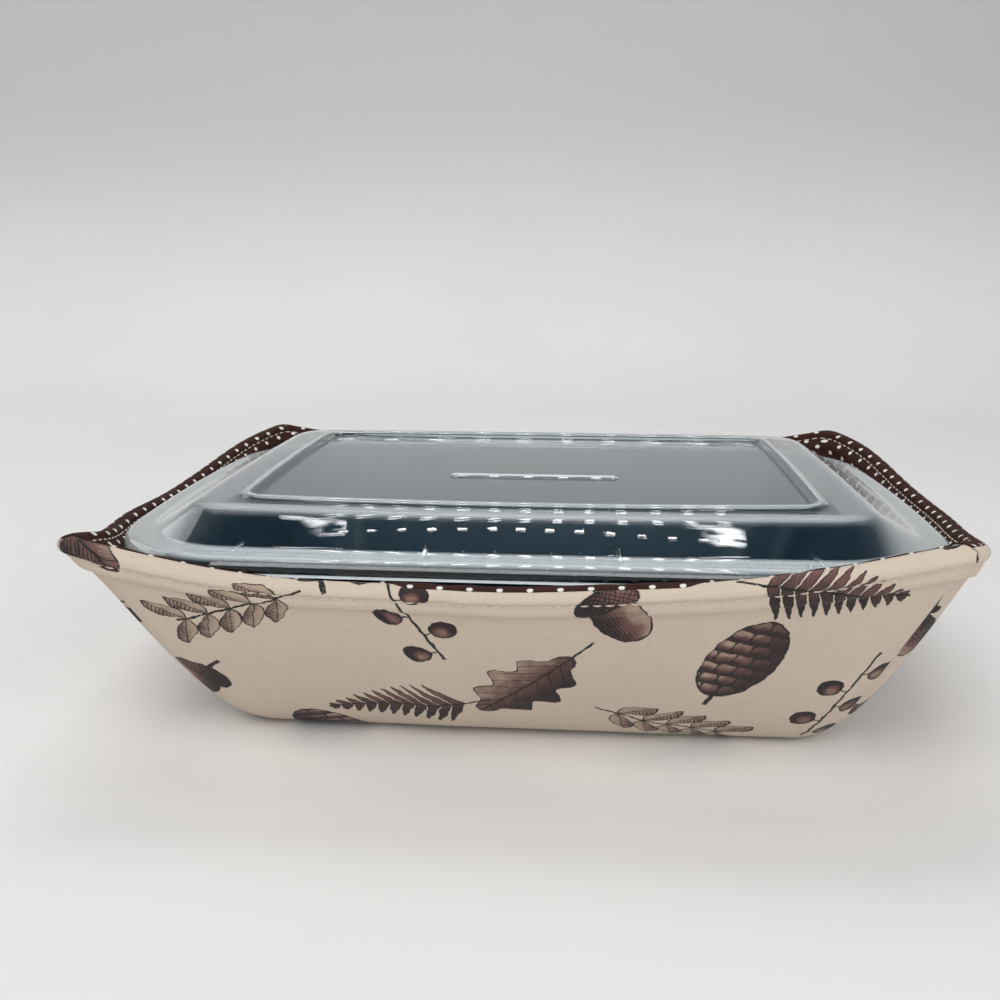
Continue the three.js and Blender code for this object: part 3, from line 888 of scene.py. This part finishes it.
def paired_sprig(x, y):
    pitch, leaf, width, pairs = 7.6, 11.0, 2.8, 2
    reach = abs(x)
    rise = y - reach * 0.83
    cell = (rise / pitch + 0.5).op("FLOOR")
    along = reach / 0.77
    across = rise.wrap(pitch / 2) * 0.77
    edge = abs(across) - (clamped(along / leaf) * math.pi).op("SINE") * width
    within = abs(cell).inside(pairs + 0.5) * along.inside(leaf)
    fill = edge.inside() * within
    low, high = -pitch * pairs - 7.0, pitch * pairs + 3.0
    stem = x.stroke(0.7) * abs(y - (low + high) / 2).inside((high - low) / 2)
    vein = across.stroke(0.3) * fill
    shade = across.ramp(-width, width)
    lines = hatching(along + abs(across), shade * 0.6) * fill
    return fill, shade * -0.35 + 0.95, either(edge.stroke(OUTLINE) * within, stem, vein, lines)


def acorn(x, y):
    nut = ellipse(x, y + 4.2, 6.4, 9.6)
    cap = ellipse(x, y - 2.8, 7.8, 5.0)
    upper = (y * -1.0).inside(-0.8)
    lower = 1.0 - upper
    in_cap = cap.inside() * upper
    in_nut = nut.inside() * lower
    stem = (x - (y - 7.0) * 0.25).stroke(1.2) * abs(y - 9.8).inside(3.0)
    brim = (y - 0.8).stroke(0.5) * cap.inside()
    outline = either(nut.stroke(OUTLINE) * lower, cap.stroke(OUTLINE) * upper, brim)
    tone = x.ramp(6.5, -5.5)
    shade = tone * -0.5 + 0.8
    weave_lines = either(hatching(x + y, shade, 1.5), hatching(x - y, shade, 1.5))
    lines = hatching(x, 0.8 - tone) * in_nut
    ink = either(outline, stem, weave_lines * in_cap, lines)
    return either(in_cap, in_nut), in_cap * 0.5 * tone + in_nut * tone * 0.8, ink


def frond(x, y):
    half, width, pitch = 20.0, 11.5, 3.5
    rise = y - abs(x) * 0.55
    cell = (rise / pitch + 0.5).op("FLOOR")
    t = clamped(cell * (pitch / (2 * half)) + 0.5)
    reach = (1.0 - t).op("POWER", 0.8) * width + 0.8
    share = clamped(abs(x) / reach)
    leaflet = (1.0 - share * share) * (pitch * 0.42)
    step = rise.wrap(pitch / 2)
    within = abs(cell).inside(half / pitch) * (share - 0.97).inside(0.0, 0.02)
    edge = abs(step) - leaflet
    fill = edge.inside() * within
    stem = x.stroke(0.7) * abs(y + 3.0).inside(half + 3.0)
    lines = hatching(step + abs(x) * 0.3, x.ramp(-9.0, 9.0) * 0.8, 0.8) * fill
    return fill, x.ramp(9.0, -9.0) * 0.5, either(edge.stroke(0.32) * within, stem, lines)


def berry_twig(x, y):
    pitch, berry, out, rows = 7.4, 3.3, 5.4, 2
    cell = (y / pitch + 0.5).op("FLOOR")
    side = x * (abs(cell.op("MODULO", 2.0)) * 2.0 - 1.0)
    step = y.wrap(pitch / 2)
    within = abs(cell).inside(rows + 0.5)
    edge = ellipse(side - out, step, berry, berry)
    fill = edge.inside() * within
    stalk = (step + side * 0.25 - 0.7).stroke(0.5) * (side - 1.4).stroke(2.8) * within
    stem = x.stroke(0.8) * abs(y + 2.0).inside(pitch * rows + 6.0)
    tone = ellipse(side - out + 1.0, step - 1.0, berry, berry).ramp(0.0, -2.6)
    lines = hatching(step + side, 0.8 - tone, 0.8) * fill
    return fill, tone * 0.6, either(edge.stroke(OUTLINE) * within, stem, stalk, lines)


def pine_cone(x, y):
    half_x, half_y, row_pitch, scale = 10.0, 15.5, 4.3, 5.4
    body = ellipse(x, y, half_x, half_y)
    row = (y / row_pitch + 0.5).op("FLOOR")
    odd = abs(row.op("MODULO", 2.0))
    across = (x + odd * (scale / 2)).wrap(scale / 2)
    up = y - row * row_pitch
    flap = ellipse(across, up + 0.6, scale / 2, 2.9)
    fill = body.inside()
    tone = up.ramp(2.2, -1.6) * x.ramp(10.0, -7.0)
    lines = hatching(across + up * 0.2, up.ramp(-1.0, 2.2), 0.8) * fill
    stem = x.stroke(1.3) * abs(y - half_y - 2.0).inside(2.6)
    return fill, tone * 0.8, either(body.stroke(OUTLINE), flap.stroke(0.5) * fill, lines, stem)


# Each motif's place across and down in the repeat, and its turn in degrees
MOTIFS = (
    (lobed_leaf, 0.0, 2.0, 40.0),
    (paired_sprig, 37.0, 24.0, -60.0),
    (acorn, 21.0, -31.0, 150.0),
    (frond, -34.0, 17.0, 74.0),
    (berry_twig, -27.0, -27.0, -24.0),
    (pine_cone, 54.0, -5.0, 24.0),
)
CREAM = (0.62, 0.52, 0.422)
CREAM_SHADE = (0.582, 0.484, 0.391)
INK = (0.014, 0.011, 0.011)
DARK_BROWN = (0.032, 0.017, 0.0155)
ROSE_BROWN = (0.15, 0.07, 0.06)
BEIGE = (0.46, 0.35, 0.265)


def print_cotton():
    """Cream cotton with a brown and black woodland print, inked and washed."""
    material, tree, shader = new_material("print_cotton", 0.88, Sheen_Weight=0.05, Sheen_Roughness=0.5)
    u, v = cloth_place(tree)
    drawn_u = u + (noise(tree, (u, v), 0.35, 3.0) - 0.5) * 1.6
    drawn_v = v + (noise(tree, (v, u), 0.35, 3.0) - 0.5) * 1.6
    drawings = []
    for motif, *where in MOTIFS:
        fill, tone, ink = motif(*motif_place(drawn_u, drawn_v, *where))
        drawings.append((fill, tone * fill, ink))
    fill, tone, ink = (either(*layer) for layer in zip(*drawings))
    grain = noise(tree, (u, v), 1.2, 4.0)
    height, slub = weave(tree, u, v)
    ground = mixed(tree, slub.ramp(0.6, 1.4), CREAM, CREAM_SHADE)
    wash = tone + (noise(tree, (u, v), 0.25, 3.0) - 0.5) * 0.7
    drawn = mixed(tree, wash.ramp(0.0, 0.5), DARK_BROWN, ROSE_BROWN)
    drawn = mixed(tree, wash.ramp(0.45, 1.0), drawn, BEIGE)
    colour = mixed(tree, fill * grain.ramp(0.1, 0.35), ground, drawn)
    colour = mixed(tree, ink * grain.ramp(0.2, 0.42), colour, INK)
    tree.links.new(colour, shader.inputs["Base Color"])
    bump(tree, shader, height, 0.05)
    return material


DOT_PITCH = 7.0
DOT_SIZE = 1.5
DOT_SHIFT = (-1.9, 1.4)
BROWN = (0.052, 0.02, 0.0145)
BROWN_SHADE = (0.032, 0.012, 0.009)
DOT_WHITE = (0.82, 0.79, 0.74)


def dot_cotton():
    """Dark brown cotton with white pin dots in staggered rows."""
    material, tree, shader = new_material("dot_cotton", 0.95, Specular_IOR_Level=0.2)
    u, v = cloth_place(tree)
    half = DOT_PITCH / 2
    rows = []
    for shift in (0.0, half):
        x = (u + (shift + DOT_SHIFT[0])).wrap(half)
        y = (v + (shift + DOT_SHIFT[1])).wrap(half)
        rows.append((x * x + y * y).op("SQRT").inside(DOT_SIZE / 2))
    dots = either(*rows)
    height, slub = weave(tree, u, v)
    ground = mixed(tree, slub.ramp(0.7, 1.3), BROWN, BROWN_SHADE)
    tree.links.new(mixed(tree, dots, ground, DOT_WHITE), shader.inputs["Base Color"])
    bump(tree, shader, height + dots * 0.3, 0.12)
    return material


FLEECE = (0.72, 0.68, 0.6)
FLEECE_LIGHT = (0.86, 0.83, 0.77)


def batting_fleece():
    """Needled cotton batting: matted fibres and small pits."""
    material, tree, shader = new_material("batting_fleece", 1.0, Sheen_Weight=0.3, Sheen_Roughness=0.6)
    u, v = cloth_place(tree)
    fibres = noise(tree, (u * 0.5, v * 2.2), 1.2, 5.0) + noise(tree, (u * 2.2, v * 0.5), 1.2, 5.0)
    colour = mixed(tree, fibres.ramp(0.7, 1.3), FLEECE, FLEECE_LIGHT)
    tree.links.new(colour, shader.inputs["Base Color"])
    bump(tree, shader, fibres, 0.4)
    return material


THREAD_TWIST = 0.55
# Shaded and lit copies of the thread's colour, for painted shade along the twist
THREAD_PAINTED_SHADE = (0.58, 0.49, 0.41)
THREAD_PAINTED_LIGHT = (0.76, 0.68, 0.59)


def sewing_thread():
    """Twisted off-white cotton thread, with painted shade in the twist's grooves, lighter ridges, and a
    random fuzz of tone.
    """
    material, tree, shader = new_material("sewing_thread", 0.62, Sheen_Weight=0.15)
    x, y, z = object_place(tree)
    twist = ((x + y * 0.8 + z * 0.6) * (2 * math.pi / THREAD_TWIST)).op("SINE") * 0.5 + 0.5
    fuzz = noise(tree, (x, y, z), 2.5, 3.0)
    # Painted shade: the colour follows the twist, as the bump does, darker in the grooves and lighter on
    # the ridges; the fuzz varies the tone at random
    colour = mixed(tree, twist * 0.6 + fuzz * 0.4, THREAD_PAINTED_SHADE, THREAD_PAINTED_LIGHT)
    tree.links.new(colour, shader.inputs["Base Color"])
    bump(tree, shader, twist, 0.06)
    return material


TRAY_BLUE = (0.008, 0.022, 0.034)
TRAY_BLUE_LIGHT = (0.012, 0.029, 0.043)


def tray_plastic():
    """Blue-black moulded plastic with a fine texture and a faintly uneven gloss."""
    material, tree, shader = new_material("tray_plastic", 0.2, Specular_IOR_Level=0.16)
    place = object_place(tree)
    stipple = noise(tree, place, 1.8, 3.0)
    cloud = noise(tree, place, 0.05, 3.0)
    colour = mixed(tree, cloud.ramp(0.3, 0.75), TRAY_BLUE, TRAY_BLUE_LIGHT)
    tree.links.new(colour, shader.inputs["Base Color"])
    rough = cloud * 0.12 + stipple * 0.06 + 0.1
    tree.links.new(rough.socket, shader.inputs["Roughness"])
    bump(tree, shader, stipple, 0.02)
    return material


def let_light_through(tree, shader, tint):
    """Lets the lamps shine straight through a clear surface."""
    ray = tree.nodes.new("ShaderNodeLightPath")
    through = tree.nodes.new("ShaderNodeBsdfTransparent")
    through.inputs["Color"].default_value = (*tint, 1.0)
    surface = tree.nodes.new("ShaderNodeMixShader")
    tree.links.new(ray.outputs["Is Shadow Ray"], surface.inputs[0])
    tree.links.new(shader.outputs["BSDF"], surface.inputs[1])
    tree.links.new(through.outputs["BSDF"], surface.inputs[2])
    tree.links.new(surface.outputs["Shader"], tree.nodes["Material Output"].inputs["Surface"])


CLEAR = (0.87, 0.915, 0.935)
# Greyer colour at the lid's ends: glass tint, and the colour of the painted reflection there
CLEAR_END_AND_PAINTED_REFLECTION = (0.74, 0.765, 0.76)
CLEAR_SHADOW = (0.87, 0.9, 0.92)
END_REACH = (85.0, 97.0)
BORDER_EDGE = 0.6
# How milky the clear plastic is in each of the lid's places. Only the small share on top is haze alone. The
# rest is some real haze, mostly painted reflection where the lid is seen at a grazing angle (ends, flange,
# border), and painted highlight lines along the crest, rib and lip foot.
HAZE_AND_PAINTED_REFLECTION = {
    "ends": 0.28, "flange": 0.27, "border": 0.26, "crest": 0.36, "rib": 0.6, "lip_foot": 0.5, "top": 0.012
}


def lid_places(x, y, z):
    """Where the lid's forms lie, each from 0 to 1."""
    reach_x = abs(x - CONTAINER_OFFSET)
    above = z - FLANGE_TOP
    sag = clamped(1.0 - (reach_x / DOME_EDGE[0]).op("POWER", 2.0)) * DOME_SAG
    on_dome = above + sag - DOME_HEIGHT
    near_border = (y * -1.0 - RIDGE_FOOT[1]).ramp(0.0, BORDER_EDGE)
    end_border = reach_x.ramp(RIDGE_FOOT[0], RIDGE_FOOT[0] + BORDER_EDGE)
    on_rib = reach_x.inside(TOP_RIB[0]) * abs(y - TOP_RIB_SHIFT).inside(TOP_RIB[1])
    return {
        "ends": reach_x.ramp(*END_REACH),
        "flange": above.ramp(-1.4, -0.2) * above.ramp(0.5, 0.2),
        "border": either(near_border, end_border * 0.5) * on_dome.ramp(-0.8, -0.3),
        "crest": on_dome.ramp(RIDGE_RISE - 0.35, RIDGE_RISE - 0.1),
        "rib": on_rib * on_dome.ramp(-0.2, 0.0),
        "lip_foot": above.ramp(0.6 - LID_SKIRT, 0.3 - LID_SKIRT),
        "top": on_dome.ramp(-2.0, -1.0),
    }


def clear_plastic():
    """Clear thermoformed plastic, a little wavy, and milky at its ends, flange and raised forms: partly
    real haze, mostly painted reflection and painted highlight lines.
    """
    material, tree, shader = new_material("clear_plastic", 0.02, IOR=1.5)
    place = object_place(tree)
    forms = lid_places(*place)
    # Painted reflection and painted highlight lines, with a little real haze: a milky diffuse share set by
    # place, where the lid is seen at grazing angles and along its bright edges
    haze_and_painted_reflection = either(*(forms[name] * share for name, share in HAZE_AND_PAINTED_REFLECTION.items()))
    # The ends take a greyer base colour, which tints the glass and colours the painted reflection there
    tree.links.new(mixed(tree, forms["ends"], CLEAR, CLEAR_END_AND_PAINTED_REFLECTION), shader.inputs["Base Color"])
    clear = 1.0 - haze_and_painted_reflection
    tree.links.new(clear.socket, shader.inputs["Transmission Weight"])
    cloud = noise(tree, place, 0.12, 3.0)
    rough = cloud.ramp(0.5, 0.8) * 0.02 + forms["ends"] * 0.1 + 0.012
    tree.links.new(rough.socket, shader.inputs["Roughness"])
    bump(tree, shader, noise(tree, place, 0.03, 1.0), 0.06)
    let_light_through(tree, shader, CLEAR_SHADOW)
    return material


# Stage, light and camera

FLOOR = (0.78, 0.77, 0.755)
FLOOR_LIGHT = (0.81, 0.8, 0.785)
BACKDROP = (0.535, 0.535, 0.53)
BACKDROP_FROM = 320.0


def stage_paint():
    """Pale paint, a little deeper on the backdrop than on the floor."""
    material, tree, shader = new_material("stage_paint", 0.7)
    place = object_place(tree)
    cloud = noise(tree, place, 0.004, 2.0)
    floor = mixed(tree, cloud.ramp(0.3, 0.7), FLOOR, FLOOR_LIGHT)
    colour = mixed(tree, place[2].ramp(0.0, BACKDROP_FROM), floor, BACKDROP)
    tree.links.new(colour, shader.inputs["Base Color"])
    return material


def sweep():
    """A floor that curves up into a backdrop."""
    back, radius, height, width, front = 520.0, 420.0, 1700.0, 2400.0, -1800.0
    turns = np.linspace(0.0, math.pi / 2, 25)
    bend = [(back + radius * math.sin(a), radius * (1 - math.cos(a))) for a in turns]
    profile = [(front, 0.0), *bend, (back + radius, height)]
    points = np.array([(x, y, z) for y, z in profile for x in (-width, width)])
    faces = [(2 * k, 2 * k + 1, 2 * k + 3, 2 * k + 2) for k in range(len(profile) - 1)]
    floor = mesh_piece("studio_sweep", points, faces, stage_paint())


def area_light(name, place, target, size, power, colour):
    data = bpy.data.lights.new(name, "AREA")
    data.shape = "RECTANGLE"
    data.size, data.size_y = (s * MM for s in size)
    data.energy = power
    data.color = colour
    light = bpy.data.objects.new(name, data)
    light.location = Vector(place) * MM
    aim = Vector(target) * MM - light.location
    light.rotation_euler = aim.to_track_quat("-Z", "Y").to_euler()
    bpy.context.scene.collection.objects.link(light)
    return data


WHITE = (1.0, 1.0, 1.0)
LIGHT_TARGET = (0, 0, 40)
# Soft lights: place, size, power and colour
SOFT_LIGHTS = {
    "key_light": ((-180, -850, 1150), (1100, 800), 10.5, (1.0, 0.985, 0.97)),
    "fill_light": ((850, -950, 700), (900, 700), 5.6, (0.97, 0.985, 1.0)),
    "top_light": ((-150, 700, 1350), (1600, 700), 2.4, WHITE),
    "side_light": ((-1100, 450, 620), (700, 700), 1.8, WHITE),
}
LAMPS = 13
LAMP_HEIGHT = 1500
LAMP_ROW_MIDDLE = -88
LAMP_SHARE = 0.28
LAMP_EDGE = 0.02
# Rows of lamps: how far back, spacing, depth and power
LAMP_ROWS = ((47, 55, 3.5, 0.4), (640, 63, 420, 13.0))
# Single lamps that leave smears: how far along and back, length and depth, and slant
SINGLE_LAMPS = ((-480, 130, 130, 190, 1.76), (262, 120, 110, 190, 3.2))
SINGLE_POWER = 1.1
PATCH_SHARE = 0.6
PATCH_EDGE = 14.0
STREAK_SCALE = (0.012, 0.05)
STREAK_EDGE = (0.42, 0.56)
SKY_LOW = (0.40, 0.41, 0.425)
SKY_HIGH = (0.06, 0.075, 0.09)


def lit_by(data, pattern):
    """Lights a lamp by a pattern of the place on it, along and back, in millimetres."""
    data.use_nodes = True
    tree = data.node_tree
    node = tree.nodes.new("ShaderNodeNewGeometry")
    along, back = (part * (1 / MM) for part in split(tree, node.outputs["Position"])[:2])
    tree.links.new(pattern(along, back).socket, tree.nodes["Emission"].inputs["Strength"])


def lamp_strip(name, y, spacing, depth, power):
    """A row of small lamps as one light, lit only where they are."""
    place = (LAMP_ROW_MIDDLE, y, LAMP_HEIGHT)
    data = area_light(name, place, (*place[:2], 0), (LAMPS * spacing, depth), power, WHITE)

    def dashes(along, _):
        return ((along - LAMP_ROW_MIDDLE) / spacing).wrap(0.5).stroke(LAMP_SHARE, LAMP_EDGE)

    lit_by(data, dashes)


def single_lamp(name, x, y, length, depth, slant):
    """A lamp whose light is a slanted, streaky patch."""
    data = area_light(name, (x, y, LAMP_HEIGHT), (x, y, 0), (length, depth), SINGLE_POWER, WHITE)

    def streaks(along, back):
        patch = ((along - x) + (back - y) / slant).stroke(length * PATCH_SHARE, PATCH_EDGE)
        grain = noise(along.tree, (along * STREAK_SCALE[0], back * STREAK_SCALE[1]), 1.0)
        return patch * grain.ramp(*STREAK_EDGE)

    lit_by(data, streaks)


def lighting():
    for name, (place, *looks) in SOFT_LIGHTS.items():
        area_light(name, place, LIGHT_TARGET, *looks)
    for row, sizes in enumerate(LAMP_ROWS):
        lamp_strip(f"lamp_strip_{row}", *sizes)
    for lamp, sizes in enumerate(SINGLE_LAMPS):
        single_lamp(f"lamp_{lamp}", *sizes)


def surroundings():
    """Soft grey light from around, darker overhead."""
    world = bpy.data.worlds.new("studio_world")
    world.use_nodes = True
    tree = world.node_tree
    background = tree.nodes["Background"]
    direction = tree.nodes.new("ShaderNodeTexCoord")
    height = split(tree, direction.outputs["Generated"])[2]
    sky = mixed(tree, height.ramp(0.3, 0.95), SKY_LOW, SKY_HIGH)
    tree.links.new(sky, background.inputs["Color"])
    bpy.context.scene.world = world


CAMERA_PLACE = (13.2, -300.5, 129.0)
CAMERA_YAW = -0.0835
CAMERA_PITCH = 0.245
CAMERA_ROLL = -0.001
CAMERA_LENS = 36.0


def camera():
    data = bpy.data.cameras.new("camera")
    data.lens = CAMERA_LENS
    data.clip_start = 0.01
    eye = bpy.data.objects.new("camera", data)
    eye.location = Vector(CAMERA_PLACE) * MM
    level = math.cos(CAMERA_PITCH)
    across, away = math.sin(CAMERA_YAW) * level, math.cos(CAMERA_YAW) * level
    forward = Vector((across, away, -math.sin(CAMERA_PITCH)))
    turn = forward.to_track_quat("-Z", "Y").to_matrix()
    eye.rotation_euler = (turn @ Matrix.Rotation(CAMERA_ROLL, 3, "Z")).to_euler()
    bpy.context.scene.collection.objects.link(eye)
    bpy.context.scene.camera = eye


# Assembly

def dress(piece, node, body):
    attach(piece, body)
    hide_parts(node)


def cozy():
    thread = sewing_thread()
    fleece = batting_fleece()
    outer = outer_cotton(print_cotton())
    lining = lining_cotton(dot_cotton())
    outer_depth = COTTON + LAYER_GAP
    lining_depth = outer_depth + BATTING + LAYER_GAP
    outer_fill = batting_sheet("outer_batting_fleece", outer_depth, fleece)
    lining_fill = batting_sheet("lining_batting_fleece", lining_depth, fleece)
    sheets = (
        (outer, "outer_cotton", "print_cotton", []),
        (outer_fill, "outer_batting", "batting", [outer]),
        (lining_fill, "lining_batting", "batting", [outer_fill]),
        (lining, "lining_cotton", "dot_cotton", [lining_fill]),
    )
    for piece, node, slot, under in sheets:
        dress(piece, node, "cozy")
    rows = [
        ("topstitch_thread", loop_path(TOPSTITCH_DROP, 0.0, 1, 1), True),
        ("bobbin_thread", loop_path(TOPSTITCH_DROP, WALL, -1, -1), True),
        ("rim_seam_thread", loop_path(RIM_SEAM_DROP, WALL / 2, 1, 0), True),
    ]
    for corner in range(4):
        outer_path = dart_path(corner, COTTON + DART_DEPTH + LAYER_GAP, 1)
        lining_path = dart_path(corner, WALL - COTTON - DART_DEPTH - LAYER_GAP, -1)
        rows.append((f"outer_dart_thread_{corner + 1}", outer_path, False))
        rows.append((f"lining_dart_thread_{corner + 1}", lining_path, False))
    for node, (path, outward), is_loop in rows:
        dress(stitch_row(f"{node}_stitches", path, outward, is_loop, thread), node, "cozy")


def container():
    dress(container_tray(tray_plastic()), "container_tray", "container")
    dress(container_lid(clear_plastic()), "container_lid", "lid")


camera()
cozy()
container()
sweep()
lighting()
surroundings()
bpy.context.scene.view_settings.view_transform = "Standard"
